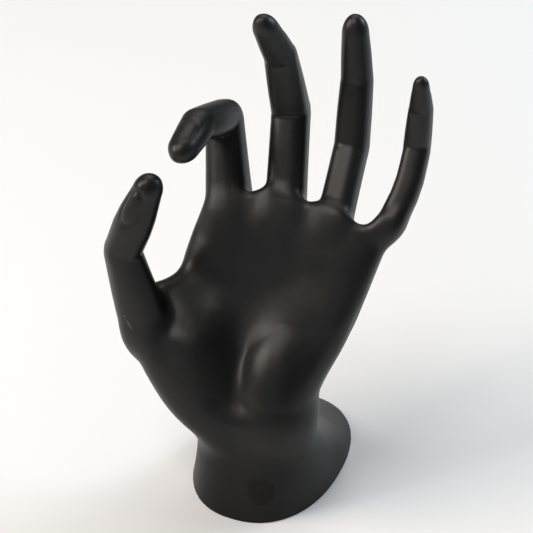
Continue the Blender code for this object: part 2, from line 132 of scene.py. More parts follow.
# Thumb
THUMB_PALM_BONE = 42.0
THUMB_NEAR_BONE = 32.2
THUMB_END_BONE = 25.9
THUMB_ROOT_WIDTH = 17.0
THUMB_JOINT_WIDTH = 14.0
THUMB_TIP_WIDTH = 11.0
THUMB_AIMS = ((-51.5, 14.1), (-10.8, 27.5), (21.3, 19.1))  # spread and tilt of its three bones
THUMB_SIDE = (-0.35, -0.93, -0.1)  # side-to-side line of its palm bone and of its tip
FREE_THUMB_SIDE = (0.2, -0.95, -0.1)  # the same line of the ridge along its two free bones
PALM_BONE_SQUARENESS = 2.3
FREE_THUMB_SQUARENESS = (2.1, 1.8, 1.7, 1.7, 1.7, 1.7, 1.8)  # below 2 its sides meet in a ridge
THUMB_DOME = 1.25  # how long its rounded end is, in half widths
MUSCLE_BLEND = 8.0  # between its muscle, its web and its palm bone
BALL_BLEND = 7.0  # these into the palm
THUMB_BLEND = 3.0  # its free bones into these

# How the net of faces is laid
CELL = 0.75
COARSE = 4  # fine cells along one coarse cell
NEAR = 1.8  # coarse cells from the surface within which every fine one is worked out
FAR = 12.0  # nothing is measured farther than this from a bar
FILL_PASSES = 6  # filling one grid point can bring out another
BELOW = 3.0  # the field runs on under the table by this much, and is cut off there


def unit(vectors):
    """The same directions, each divided by its length."""
    vectors = np.asarray(vectors, float)
    return vectors / np.linalg.norm(vectors, axis=-1, keepdims=True)


def aim(spread, tilt):
    """The direction that is turned from straight up, by angles in degrees.

    The spread turns it toward the little finger, and the tilt out of the palm.
    """
    s, t = np.radians([spread, tilt])
    return np.array([np.sin(s) * np.cos(t), np.sin(t), np.cos(s) * np.cos(t)])


def bend(direction, side, angle):
    """The direction turned about the side-to-side line, toward the palm face, by an angle in degrees."""
    a = np.radians(-angle)
    return direction * np.cos(a) + np.cross(side, direction) * np.sin(a)


def cut_corners(rows, times):
    """Each pass puts two points, at a quarter and three quarters of every side, in place of its corners."""
    rows = np.asarray(rows, float)
    for _ in range(times):
        start, end = rows[:-1], rows[1:]
        cut = np.stack([0.75 * start + 0.25 * end, 0.25 * start + 0.75 * end], 1)
        rows = np.concatenate([rows[:1], cut.reshape(-1, rows.shape[1])[1:-1], rows[-1:]])
    return rows


def soft_union(a, b, blend):
    """The nearer of two distances, rounded over where they differ by less than the blend.

    There it is less by a quarter of the blend, times the square of the share of the blend by which
    they don't differ.
    """
    near = np.maximum(blend - np.abs(a - b), 0) / blend
    return np.minimum(a, b) - near * near * blend / 4


def soft_cut(a, b, blend):
    """What is left of a once b is taken out of it, with an edge rounded as in the soft union."""
    return -soft_union(-a, b, blend)


def section(scaled, radii, power):
    """How far out a place is in a section, with its rim at one, and how steeply that grows outward.

    Scaled holds the place's two parts as shares of the radii. Each is raised to the power, and the
    ratio is their sum with that power's root taken. A power of 2 gives an oval and a higher one
    squarer corners.
    """
    ratio = np.maximum((scaled**power).sum(0) ** (1 / power), 1e-6)
    return ratio, np.sqrt(((scaled ** (power - 1) / radii) ** 2).sum(0)) * ratio ** (1 - power)


def bar(points, side, sizes, power, cap=1.0, smooth=1):
    """A rounded bar along the points, as a function that gives the distance to its surface.

    side is its side-to-side line; sizes holds half width, depth on the palm face and depth on the
    back, point by point. A power of 2 gives an oval section and a higher one squarer corners. Both
    side and power are one for the whole bar, or one for each point. A place is set against the section
    that it is nearest to, and its distance is its ratio there, less one, over that ratio's slope.
    """
    points = np.asarray(points, float)
    sides = np.broadcast_to(np.asarray(side, float), points.shape)
    powers = np.broadcast_to(np.asarray(power, float), len(points))[:, None]
    rows = cut_corners(np.concatenate([points, sides, np.asarray(sizes, float), powers], 1), smooth)
    centre, side_at, size_at, power_at = rows[:, :3], rows[:, 3:6], rows[:, 6:9], rows[:, 9]
    steps = centre[1:] - centre[:-1]
    along = unit(np.concatenate([steps[:1], steps[:-1] + steps[1:], steps[-1:]]))
    reach = size_at.max() + FAR
    low, high = centre.min(0) - reach, centre.max(0) + reach

    def nearest(places):
        """The step of the bar that each place is nearest to, and how far along that step."""
        best = np.full(len(places), np.inf)
        step = np.zeros(len(places), int)
        share = np.zeros(len(places))
        for i, d in enumerate(steps):
            t = np.clip((places - centre[i]) @ d / (d @ d), 0, 1)
            gap = places - centre[i] - t[:, None] * d
            gap = (gap * gap).sum(1)
            closer = gap < best
            best[closer], share[closer], step[closer] = gap[closer], t[closer], i
        return step, share

    def distance(places):
        """How far each place is from the bar's surface, and FAR where the bar isn't near."""
        result = np.full(len(places), FAR)
        close = ((places > low) & (places < high)).all(1)
        if not close.any():
            return result
        step, share = nearest(places[close])
        t = share[:, None]
        axis = unit(along[step] * (1 - t) + along[step + 1] * t)
        across = side_at[step] * (1 - t) + side_at[step + 1] * t
        across = unit(across - (across * axis).sum(1)[:, None] * axis)
        size = size_at[step] * (1 - t) + size_at[step + 1] * t
        offset = places[close] - centre[step] * (1 - t) - centre[step + 1] * t
        x = (offset * across).sum(1)
        y = (offset * np.cross(axis, across)).sum(1)
        past_end = ((step == 0) & (share <= 0)) | ((step == len(steps) - 1) & (share >= 1))
        z = np.where(past_end, (offset * axis).sum(1), 0)
        depth = np.where(y > 0, size[:, 1], size[:, 2])
        end = size[:, 1:].mean(1) * cap
        radii = np.array([size[:, 0], depth])
        squareness = power_at[step] * (1 - share) + power_at[step + 1] * share
        flat, steep = section(np.abs([x, y]) / radii, radii, squareness)
        ratio = np.sqrt(flat * flat + (z / end) ** 2)
        slope = np.sqrt((flat * steep) ** 2 + (z / end**2) ** 2) / np.maximum(ratio, 1e-6)
        result[close] = np.where(ratio > 1e-5, (ratio - 1) / np.maximum(slope, 1e-6), -depth)
        return result

    return distance


def egg(centre, radii, lean=0.0):
    """An egg-shaped lump that leans across, as a function that gives the distance to its surface.

    With the place's length in radii as its reach, that is the reach times the reach less one, over
    the place's length in squared radii.
    """
    a = np.radians(lean)
    axes = np.array([[np.cos(a), 0, -np.sin(a)], [0, 1, 0], [np.sin(a), 0, np.cos(a)]])
    centre, radii = np.array(centre, float), np.array(radii, float)

    def distance(places):
        local = (places - centre) @ axes.T
        near = np.linalg.norm(local / radii, axis=1)
        slope = np.maximum(np.linalg.norm(local / radii**2, axis=1), 1e-9)
        return near * (near - 1) / slope

    return distance


def palm_place(across, depth, up):
    """A place in the palm: across in half palm widths and up in palm lengths."""
    return np.array([across * PALM_WIDTH / 2, depth, up * PALM_LENGTH])


INDEX_ROOT = palm_place(-0.66, -2.5, 0.952)
MIDDLE_ROOT = palm_place(-0.05, -2.0, 1.0)
RING_ROOT = palm_place(0.486, -2.0, 1.02)
LITTLE_ROOT = palm_place(1.07, -1.9, 1.06)
THUMB_ROOT = palm_place(-0.30, 2.0, 0.075)


def finger_bones(root, spread, tilt, roll, bends, turns, bones):
    """Where each bone starts, its direction and its side-to-side line, from the root out.

    The roll turns the plane that the finger bends in, and at each joint it also turns a little
    toward the little finger.
    """
    side = np.array([np.cos(np.radians(roll)), np.sin(np.radians(roll)), 0.0])
    direction = aim(spread, tilt)
    start, line = root, []
    for i, length in enumerate(bones):
        if i:
            turn = np.radians(turns[i - 1])
            direction = bend(direction, side, bends[i - 1])
            direction = np.cos(turn) * direction + np.sin(turn) * side
        side = unit(side - (side @ direction) * direction)
        line.append((start, direction, side))
        start = start + length * direction
    return line


def finger(root, spread, tilt, roll, bends, turns, bones, widths, bow):
    """A finger's three bones as one bar, which creases on the palm's side and is round on the back.

    Each bone narrows evenly from joint to joint, swells or thins midway to its waist, and the first
    bows aside: both go with four times the share of the length times the share that is left.
    """
    halves = np.array(widths) / 2
    line = finger_bones(root, spread, tilt, roll, bends, turns, bones)
    places, sides, sizes, powers = [], [], [], []
    for i, (start, direction, side) in enumerate(line):
        for share in (JOINT_SHARE, 0.5, 1 - JOINT_SHARE, 1.0):
            half = halves[i] + share * (halves[i + 1] - halves[i])
            half *= 1 + (WAISTS[i] - 1) * 4 * share * (1 - share)
            aside = bow * 4 * share * (1 - share) if i == 0 else 0
            places.append(start + share * bones[i] * direction + aside * side)
            sides.append(side)
            sizes.append((half, FINGER_DEPTH * half, FINGER_DEPTH * half))
            powers.append(FINGER_SQUARENESS[i])
    rounding = 3 if max(bends) > SHARP_BEND else 1
    return bar(places, sides, sizes, powers, cap=TIP_DOME, smooth=rounding)


def finger_settings():
    """The four fingers, index first: root, spread, tilt, roll, bends, turns, bones, widths and bow."""
    return [
        (
            INDEX_ROOT, -14.5, -2.6, 4.0, (98.5, 23.0), (0.0, 0.0),
            (INDEX_NEAR_BONE, INDEX_MIDDLE_BONE, INDEX_END_BONE),
            (INDEX_ROOT_WIDTH, INDEX_MIDDLE_WIDTH, INDEX_END_WIDTH, INDEX_TIP_WIDTH), 0.0,
        ),
        (
            MIDDLE_ROOT, -9.5, -8.4, -2.2, (53.4, 9.3), (2.4, -9.0),
            (MIDDLE_NEAR_BONE, MIDDLE_MIDDLE_BONE, MIDDLE_END_BONE),
            (MIDDLE_ROOT_WIDTH, MIDDLE_MIDDLE_WIDTH, MIDDLE_END_WIDTH, MIDDLE_TIP_WIDTH), 0.0,
        ),
        (
            RING_ROOT, -3.1, -21.4, 3.5, (29.6, 15.4), (1.0, -1.0),
            (RING_NEAR_BONE, RING_MIDDLE_BONE, RING_END_BONE),
            (RING_ROOT_WIDTH, RING_MIDDLE_WIDTH, RING_END_WIDTH, RING_TIP_WIDTH), 0.0,
        ),
        (
            LITTLE_ROOT, 7.0, -10.6, 0.0, (40.9, 11.7), (-1.5, 0.0),
            (LITTLE_NEAR_BONE, LITTLE_MIDDLE_BONE, LITTLE_END_BONE),
            (LITTLE_ROOT_WIDTH, LITTLE_MIDDLE_WIDTH, LITTLE_END_WIDTH, LITTLE_TIP_WIDTH), LITTLE_BOW,
        ),
    ]


def thumb_joints():
    """Where the thumb's three bones end, each its own length past the one before."""
    knuckle = THUMB_ROOT + THUMB_PALM_BONE * aim(*THUMB_AIMS[0])
    middle = knuckle + THUMB_NEAR_BONE * aim(*THUMB_AIMS[1])
    return knuckle, middle, middle + THUMB_END_BONE * aim(*THUMB_AIMS[2])


def thumb():
    """The thumb's palm bone with the muscle over it, and its two free bones, as two fields."""
    root, joint, tip = THUMB_ROOT_WIDTH / 2, THUMB_JOINT_WIDTH / 2, THUMB_TIP_WIDTH / 2
    knuckle, middle, end = thumb_joints()
    places = [THUMB_ROOT + share * (knuckle - THUMB_ROOT) for share in (0, 0.3, 0.72, 1)]
    sizes = [(10, 12, 12), (11, 14, 13.4), (10, 12, 10), (root, root, root - 2.5)]
    palm_bone = bar(places, unit(THUMB_SIDE), sizes, PALM_BONE_SQUARENESS, smooth=2)
    near = [knuckle + share * (middle - knuckle) for share in (0, 0.5, 1 - JOINT_SHARE)]
    far = [middle + share * (end - middle) for share in (0, JOINT_SHARE, 0.5, 1)]
    sizes = [
        (root, root + 3.5, joint - 0.6), (joint + 0.6, joint + 2.4, joint + 0.6),
        (joint + 0.1, joint, joint + 0.2), (joint, joint - 0.4, joint), (joint + 0.1, joint - 0.3, joint),
        (joint + 0.2, joint + 0.1, joint + 0.4), (tip, tip - 0.3, tip - 0.4),
    ]
    free_bones = bar(near + far, unit(FREE_THUMB_SIDE), sizes, FREE_THUMB_SQUARENESS, cap=THUMB_DOME)
    return palm_bone, free_bones


def palm():
    """The palm with its webs, the hollow in its middle and the pad on the little finger's side.

    The pad's edge is as soft as the softer of two blends: one grows evenly across the palm, and the
    other up it, by three squares less two cubes of the share of the way.
    """
    half, thick = PALM_WIDTH / 2, PALM_THICKNESS / 2
    rows = (
        (-0.08, 0.0, 0.05, 0.5, 1.08, 1.2),
        (-0.125, 0.0, 0.208, 0.66, 1.11, 1.17),
        (-0.11, 0.0, 0.442, 0.86, 1.0, 1.11),
        (-0.075, 0.0, 0.675, 1.02, 0.93, 1.07),
        (0.01, -1.0, 0.883, 1.03, 0.9, 1.0),
        (0.12, -2.0, 1.1, 1.03, 0.58, 0.9),
    )  # place across, depth and up; half width; thickness to the palm face and to the back
    web_line = [
        (-1.23, 0.922), (-0.92, 1.006), (-0.68, 1.052), (-0.46, 1.11), (-0.39, 1.143), (-0.25, 1.125),
        (-0.06, 1.119), (0.12, 1.125), (0.25, 1.14), (0.34, 1.125), (0.52, 1.117), (0.71, 1.091),
        (0.8, 1.083), (0.95, 1.096), (1.14, 1.117), (1.35, 1.143),
    ]  # across and up
    web_line = cut_corners(web_line, 2) * (half, PALM_LENGTH)
    rows = cut_corners([(row[0] * half, row[1], row[2] * PALM_LENGTH, *row[3:]) for row in rows], 3)

    def slab(places):
        """The palm's body: one section at each height, cut off along the webs and at the heel."""
        place_x, place_y, half_width, face, back = (
            np.interp(places[:, 2], rows[:, 2], rows[:, k]) for k in (0, 1, 3, 4, 5)
        )
        x, y = places[:, 0] - place_x, places[:, 1] - place_y
        depth = np.where(y > 0, face, back) * thick
        radii = np.array([half_width * half, depth])
        ratio, slope = section(np.abs([x, y]) / radii, radii, SLAB_SQUARENESS)
        sides = np.where(ratio > 1e-5, (ratio - 1) / np.maximum(slope, 1e-6), -depth)
        top = np.interp(places[:, 0], web_line[:, 0], web_line[:, 1])
        top = top - WEB_SLOPE * np.maximum(WEB_EDGE - places[:, 1], 0)
        sides = soft_cut(sides, (top - places[:, 2]) / np.hypot(1, WEB_SLOPE), WEB_BLEND)
        return soft_cut(sides, places[:, 2] - rows[0, 2], HEEL_BLEND)

    hollow = egg(palm_place(0.0, 40.0, 0.675), radii=(60.0, HOLLOW_DEPTH, 62.0))
    low_pad = egg(palm_place(0.215, 3.0, 0.265), radii=(13.0, 11.4, 21.0), lean=-3.0)
    high_pad = egg(palm_place(0.338, 0.5, 0.481), radii=(12.0, 4.8, 18.0), lean=30.0)

    def distance(places):
        body = soft_cut(slab(places), hollow(places), HOLLOW_BLEND)
        pad = soft_union(low_pad(places), high_pad(places), PAD_BLEND)
        rise = np.clip((places[:, 2] - PAD_UP[0]) / (PAD_UP[1] - PAD_UP[0]), 0, 1)
        upward = PAD_SHARP + (PAD_SOFT - PAD_SHARP) * rise**2 * (3 - 2 * rise)
        sideways = np.interp(places[:, 0], PAD_ACROSS, (PAD_SHARP, PAD_SIDE))
        return soft_union(body, pad, np.maximum(sideways, upward))

    return distance


def thumb_mass():
    """The muscle at the thumb's root and the web between the thumb and the palm."""
    muscle = egg(palm_place(-0.73, 5.0, 0.36), radii=(13.0, 12.7, 22.0), lean=-21.0)
    line = [palm_place(-0.677, 1.0, 0.545), palm_place(-0.954, 3.0, 0.571), palm_place(-1.262, 9.0, 0.532)]
    web = bar(line, side=(0, 0, -1), sizes=[(7, 6, 6), (6, 5, 5), (6, 5, 5)], power=2.4, smooth=2)
    return lambda places: soft_union(muscle(places), web(places), MUSCLE_BLEND)


def web_dip():
    """The small dip in the palm beside the thumb's web."""
    return egg(palm_place(-0.64, 24.8, 0.67), radii=(15.0, 15.0, 15.0))


def stub(places):
    """The wrist that flares to the oval foot, with more spread behind than in front.

    Half width, front and back grow downward by a power of the share of the way. The distance is the
    place's distance from the middle, less that of the rim in the same direction.
    """
    rise = 1 - np.clip(places[:, 2] / FLARE_HEIGHT, 0, 1)
    sides, behind = rise**SIDE_FLARE, rise**BACK_FLARE
    half = (STUB_WIDTH + (FOOT_WIDTH - STUB_WIDTH) * sides) / 2
    front = STUB_FRONT + (FOOT_LENGTH / 2 - STUB_FRONT) * sides
    back = STUB_BACK + (FOOT_LENGTH / 2 - STUB_BACK) * behind
    x = places[:, 0] - WRIST_ASIDE * (1 - sides)
    y = places[:, 1] - (back - front) / 2
    length = np.sqrt(x * x + y * y)
    scaled = np.abs([x / half, 2 * y / (front + back)]) ** FOOT_SQUARENESS
    ratio = np.maximum(scaled.sum(0) ** (1 / FOOT_SQUARENESS), 1e-6)
    wall = length - length / ratio
    wall = soft_cut(wall, STUB_TOP - places[:, 2], STUB_BLEND)
    return np.maximum(wall, -BELOW - places[:, 2])


def into_hand(places):
    """Places above the table, given as across, depth and up from the wrist along the leaning hand."""
    lean = np.radians(HAND_LEAN)
    wrist = np.array([WRIST_ASIDE, -WRIST_FORWARD, WRIST_HEIGHT])
    axes = np.array([[1, 0, 0], [0, -np.cos(lean), np.sin(lean)], [0, np.sin(lean), np.cos(lean)]])
    return (places - wrist) @ axes.T


def hand_field():
    """The whole form as one function of places in millimetres: its parts in soft unions."""
    palm_body, mass, dip = palm(), thumb_mass(), web_dip()
    four = [finger(*settings) for settings in finger_settings()]
    thumb_root, thumb_free = thumb()

    def distance(places):
        local = into_hand(places)
        ball = soft_union(mass(local), thumb_root(local), MUSCLE_BLEND)
        body = soft_union(palm_body(local), ball, BALL_BLEND)
        body = soft_cut(body, dip(local), DIP_BLEND)
        body = soft_union(body, thumb_free(local), THUMB_BLEND)
        spread = four[0](local)
        for one in four[1:]:
            spread = soft_union(spread, one(local), FINGER_BLEND)
        body = soft_union(body, spread, np.interp(local[:, 0], ROOT_ACROSS, ROOT_BLENDS))
        fillet_to_crease = np.interp(local[:, 1], WRIST_TURN, (WRIST_FILLET, WRIST_CREASE))
        return soft_union(body, stub(places), fillet_to_crease)

    return distance


def near_cells(field, low, shape):
    """The field on a fine grid: worked out near the surface, and only its sign elsewhere."""
    coarse_shape = (shape - 1) // COARSE + 1
    corners = np.indices(coarse_shape).reshape(3, -1).T
    rough = field(low + CELL * COARSE * corners).reshape(coarse_shape)
    near = np.abs(rough) < NEAR * CELL * COARSE
    blocks = np.zeros(coarse_shape - 1, bool)
    for i, j, k in np.ndindex(2, 2, 2):
        blocks |= near[i : near.shape[0] - 1 + i, j : near.shape[1] - 1 + j, k : near.shape[2] - 1 + k]
    repeated = [np.where(rough[:-1, :-1, :-1] < 0, -FAR, FAR), blocks]
    for axis in range(3):
        repeated = [np.repeat(array, COARSE, axis) for array in repeated]
    values, wanted = (np.pad(array, ((0, 1),) * 3, mode="edge") for array in repeated)
    for axis in range(3):
        front = np.moveaxis(wanted, axis, 0)
        front[1:] |= front[:-1]
    values[wanted] = field(low + CELL * np.argwhere(wanted))
    return values


def join_touching(values):
    """Fills grid points where two parts of the solid would meet only along an edge or at a point."""
    for _ in range(FILL_PASSES):
        inside = values < 0
        fill = np.zeros_like(inside)
        for axis in range(3):
            state, filled = np.moveaxis(inside, axis, 0), np.moveaxis(fill, axis, 0)
            a, b, c, d = state[:, :-1, :-1], state[:, 1:, :-1], state[:, :-1, 1:], state[:, 1:, 1:]
            filled[:, 1:, :-1] |= a & d & ~b & ~c
            filled[:, :-1, :-1] |= b & c & ~a & ~d
        corners = {one: inside[tuple(slice(i, n - 1 + i) for i, n in zip(one, inside.shape))]
                   for one in np.ndindex(2, 2, 2)}
        count = sum(corner.astype(int) for corner in corners.values())
        for one, corner in corners.items():
            facing = corners[tuple(1 - i for i in one)]
            apart = (corner & facing & (count == 2)) | (~corner & ~facing & (count == 6))
            fill[:-1, :-1, :-1] |= apart
            fill[1:, :-1, :-1] |= apart
        fill &= ~inside
        if not fill.any():
            break
        values[fill] = -0.1 * CELL
    return values


def net(field, low, high):
    """Points and four-sided faces over the surface where the field is zero.

    Each cell that the surface crosses gets one point, at the mean of the crossings on its edges,
    and each grid line that crosses the surface gets one face, between the four cells round it.
    """
    shape = np.ceil((high - low) / (CELL * COARSE)).astype(int) * COARSE + 1
    values = join_touching(near_cells(field, low, shape))
    inside = values < 0
    corner = np.array(list(np.ndindex(2, 2, 2)))
    windows = [tuple(slice(c, n - 1 + c) for c, n in zip(one, shape)) for one in corner]
    count = sum(inside[window].astype(int) for window in windows)
    cells = np.argwhere((count > 0) & (count < 8))
    number = np.full(shape - 1, -1)
    number[tuple(cells.T)] = np.arange(len(cells))
    at = np.stack([values[tuple((cells + one).T)] for one in corner], 1)
    total = np.zeros((len(cells), 3))
    crossings = np.zeros(len(cells))
    for a, b in [(a, b) for a in range(8) for b in range(a) if abs(corner[a] - corner[b]).sum() == 1]:
        crossed = (at[:, a] < 0) != (at[:, b] < 0)
        share = np.where(crossed, at[:, a] / np.where(crossed, at[:, a] - at[:, b], 1), 0)[:, None]
        total += np.where(crossed[:, None], corner[a] + share * (corner[b] - corner[a]), 0)
        crossings += crossed
    points = low + CELL * (cells + total / crossings[:, None])
    faces = []
    for axis in range(3):
        u, v = np.eye(3, dtype=int)[[(axis + 1) % 3, (axis + 2) % 3]]
        state = np.moveaxis(inside, axis, 0)
        ends = np.moveaxis(np.argwhere(state[:-1] != state[1:]), 1, 0)
        order = np.argsort([axis] + [i for i in range(3) if i != axis])
        line = ends[order].T
        around = np.stack([number[tuple((line - step).T)] for step in (0 * u, u, u + v, v)], 1)
        backward = ~inside[tuple(line.T)]
        around[backward] = around[backward][:, ::-1]
        faces.append(around)
    return points, np.concatenate(faces)


def onto_surface(field, points, step=0.02):
    """The points moved along the field's slope to where it is zero, by the field over its square."""
    rises = [field(points + step * way) - field(points - step * way) for way in np.eye(3)]
    slope = np.stack(rises, 1) / (2 * step)
    steep = np.maximum((slope * slope).sum(1), 0.1)
    return points - np.clip(field(points) / steep, -CELL, CELL)[:, None] * slope


# Nails and creases
CREASE_DEPTH = 0.3
CREASE_WIDTH = 0.75  # from its middle to where the depth is down to a third
CREASE_OUT = 0.9  # how far it lies from the middle of the bone, in half widths
CREASE_TAPER = (3.0, 0.15)  # how fast its depth grows from its ends, and the share that it has there
NAIL_GROOVE = 0.2  # depth of the groove round a nail
NAIL_CROWN = 0.15  # height of its plate
NAIL_SQUARENESS = 2.4
NAIL_EDGE = 0.17  # share of the nail's own size that its rim groove is wide
NAIL_REACH = 1.6  # nothing of a nail shows farther out than this, in its own half sizes
FINGER_NAIL = (1.05, 0.78)  # half length and half width, in half widths of the fingertip
FINGER_NAIL_PLACE = (0.35, 0.8)  # back from the bone's end and out on its back, in the same
THUMB_NAIL = (6.4, 3.1)  # half length and half width
THUMB_NAIL_STRENGTH = 2.3  # how much deeper it is cut than the others
THUMB_NAIL_BACK = 5.4  # from the bone's end back to its middle
THUMB_NAIL_OUT = 0.9  # in half widths of the tip
NAIL_TURN = 62.0  # the thumb's nail is turned this far toward the palm's side


def crease(start, end, depth, width):
    """A groove along a straight line: its depth falls off as a bell curve with the distance from it."""
    start, end = np.asarray(start, float), np.asarray(end, float)
    way = end - start

    def cut(places):
        share = np.clip((places - start) @ way / (way @ way), 0, 1)
        gap = places - start - share[:, None] * way
        taper = np.minimum(1, CREASE_TAPER[0] * np.minimum(share, 1 - share) + CREASE_TAPER[1])
        return depth * taper * np.exp(-(gap * gap).sum(1) / width**2)

    return cut


def nail(middle, along, across, half_length, half_width, strength=1.0):
    """A nail: a rim groove round a squarish oval, and a plate that swells a little inside it.

    The groove's depth is a bell curve about the rim, and the plate's height goes with the root of
    the share of the way in. Both fade out one half width below the nail.
    """
    along, across = unit(along), unit(across)
    outward = unit(np.cross(across, along))

    def cut(places):
        local = places - middle
        u, v, w = local @ across / half_width, local @ along / half_length, local @ outward
        round_it = (np.abs(u) ** NAIL_SQUARENESS + np.abs(v) ** NAIL_SQUARENESS) ** (1 / NAIL_SQUARENESS)
        groove = NAIL_GROOVE * np.exp(-(((round_it - 1) / NAIL_EDGE) ** 2))
        plate = NAIL_CROWN * np.clip(1 - round_it, 0, 1) ** 0.5
        on_back = np.clip(w / half_width + 1, 0, 1)
        return strength * (groove - plate) * on_back * (round_it < NAIL_REACH)

    return cut


def finger_marks(settings):
    """A finger's nail and the creases across the palm side of its two joints."""
    *pose, bones, widths, _ = settings
    marks = []
    for i, (start, direction, side) in enumerate(finger_bones(*pose, bones)):
        if i:
            half = widths[i] / 2
            joint = start + CREASE_OUT * half * np.cross(direction, side)
            marks.append(crease(joint - half * side, joint + half * side, CREASE_DEPTH, CREASE_WIDTH))
    tip_half = (widths[2] + widths[3]) / 4
    back, out = FINGER_NAIL_PLACE
    middle = start + (bones[2] - back * tip_half) * direction - out * tip_half * np.cross(direction, side)
    marks.append(nail(middle, direction, side, FINGER_NAIL[0] * tip_half, FINGER_NAIL[1] * tip_half))
    return marks


def thumb_marks():
    """The thumb's nail, turned toward the palm's side."""
    middle = thumb_joints()[1]
    direction = aim(*THUMB_AIMS[2])
    side = unit(THUMB_SIDE)
    side = unit(side - (side @ direction) * direction)
    turn = np.radians(NAIL_TURN)
    outward = -np.cos(turn) * unit(np.cross(direction, side)) - np.sin(turn) * side
    out = THUMB_NAIL_OUT * THUMB_TIP_WIDTH / 2
    plate = middle + (THUMB_END_BONE - THUMB_NAIL_BACK) * direction + out * outward
    return [nail(plate, direction, np.cross(direction, outward), *THUMB_NAIL, THUMB_NAIL_STRENGTH)]


def marked_field(field):
    """The field with every nail and crease pressed into it: their depths are added to it."""
    marks = thumb_marks()
    for settings in finger_settings():
        marks += finger_marks(settings)

    def distance(places):
        local = into_hand(places)
        return field(places) + sum(mark(local) for mark in marks)

    return distance


def cut_level(mesh):
    """Cuts off what reaches under the table and closes the mesh there with one flat face."""
    work = bmesh.new()
    work.from_mesh(mesh)
    everything = work.verts[:] + work.edges[:] + work.faces[:]
    cut = bmesh.ops.bisect_plane(
        work, geom=everything, dist=1e-7, plane_co=(0, 0, 0), plane_no=(0, 0, -1), clear_outer=True
    )
    rim = [e for e in cut["geom_cut"] if isinstance(e, bmesh.types.BMEdge)]
    bmesh.ops.contextual_create(work, geom=rim)
    bmesh.ops.recalc_face_normals(work, faces=work.faces[:])
    work.to_mesh(mesh)
    work.free()


def link(tree, source, output, target, entry):
    """Joins one node's output to another's input."""
    tree.links.new(source.outputs[output], target.inputs[entry])


def noise(tree, places, scale, detail, roughness=0.5):
    """A cloudy pattern whose patches are about one over the scale in metres."""
    node = tree.nodes.new("ShaderNodeTexNoise")
    node.inputs["Scale"].default_value = scale
    node.inputs["Detail"].default_value = detail
    node.inputs["Roughness"].default_value = roughness
    link(tree, places, "Object", node, "Vector")
    return node


def remap(tree, source, output, low, high, to_low, to_high):
    """The source's values between low and high, stretched evenly to run between two others."""
    node = tree.nodes.new("ShaderNodeMapRange")
    for name, value in (("From Min", low), ("From Max", high), ("To Min", to_low), ("To Max", to_high)):
        node.inputs[name].default_value = value
    link(tree, source, output, node, "Value")
    return node


def spot(tree, places, middle_mm, radius_mm, soft_mm):
    """One near the middle point, falling to zero over the soft rim of a round spot."""
    node = tree.nodes.new("ShaderNodeVectorMath")
    node.operation = "DISTANCE"
    node.inputs[1].default_value = [c * MM for c in middle_mm]
    link(tree, places, "Object", node, 0)
    return remap(tree, node, "Value", (radius_mm + soft_mm) * MM, radius_mm * MM, 0, 1)


def streak(tree, places, start_mm, end_mm, outward, half_width_mm):
    """One along a straight line on a face that looks outward, falling to zero at its edges.

    It is one less the largest of three shares: how far a place is from the middle along the line,
    across it and outward, each counted from half way to its edge.
    """
    start, end = np.array(start_mm) * MM, np.array(end_mm) * MM
    along = unit(end - start)
    across = unit(np.cross(along, outward))
    away = tree.nodes.new("ShaderNodeVectorMath")
    away.operation = "SUBTRACT"
    away.inputs[1].default_value = (start + end) / 2
    link(tree, places, "Object", away, 0)
    shares = []
    halves = np.linalg.norm(end - start) / 2, half_width_mm * MM, SCRATCH_REACH * MM
    for way, half in zip((along, across, outward), halves):
        reach = tree.nodes.new("ShaderNodeVectorMath")
        reach.operation = "DOT_PRODUCT"
        reach.inputs[1].default_value = way
        link(tree, away, "Vector", reach, 0)
        size = tree.nodes.new("ShaderNodeMath")
        size.operation = "ABSOLUTE"
        link(tree, reach, "Value", size, 0)
        shares.append(remap(tree, size, "Value", 0.5 * half, half, 0, 1))
    return remap(tree, largest(tree, shares), 0, 0, 1, 1, 0)


def joined(tree, operation, one, other):
    """The maximum or the product of two values, as the operation says."""
    node = tree.nodes.new("ShaderNodeMath")
    node.operation = operation
    link(tree, one, 0, node, 0)
    link(tree, other, 0, node, 1)
    return node


def largest(tree, sources):
    """The largest of several values between zero and one."""
    node = sources[0]
    for other in sources[1:]:
        node = joined(tree, "MAXIMUM", node, other)
    return node


def tint(tree, below, share, colour):
    """Mixes a colour over what lies below by the share."""
    mix = tree.nodes.new("ShaderNodeMix")
    mix.data_type = "RGBA"
    link(tree, share, 0, mix, "Factor")
    tree.links.new(below, mix.inputs[6])
    mix.inputs[7].default_value = (*colour, 1)
    return mix.outputs[2]


def bump(tree, pattern, strength, height):
    """Bumps that follow a cloudy pattern and are up to the height in metres."""
    node = tree.nodes.new("ShaderNodeBump")
    node.inputs["Strength"].default_value = strength
    node.inputs["Distance"].default_value = height
    link(tree, pattern, "Fac", node, "Height")
    return node


# Finish: satin black spray over the cast resin
CLOUDS = 70  # broad patches to a metre
PEEL = 260  # orange peel, bumps to a metre
GRAIN = 1500  # fine grain to a metre
DEEP_BLACK = (0.008, 0.008, 0.0085)
WORN_BLACK = (0.012, 0.0115, 0.011)
SHEEN = (0.36, 0.44)  # roughness, from patch to patch
RESIN_IOR = 1.4
GLOSS = (0.26, 0.5)  # how strongly the foot reflects, and the hand above it
GLOSS_HEIGHTS = (0.018, 0.06)  # metres above the table between which it grows
PEEL_BUMP = (0.25, 0.00025)  # strength and height
GRAIN_BUMP = (0.12, 0.00005)

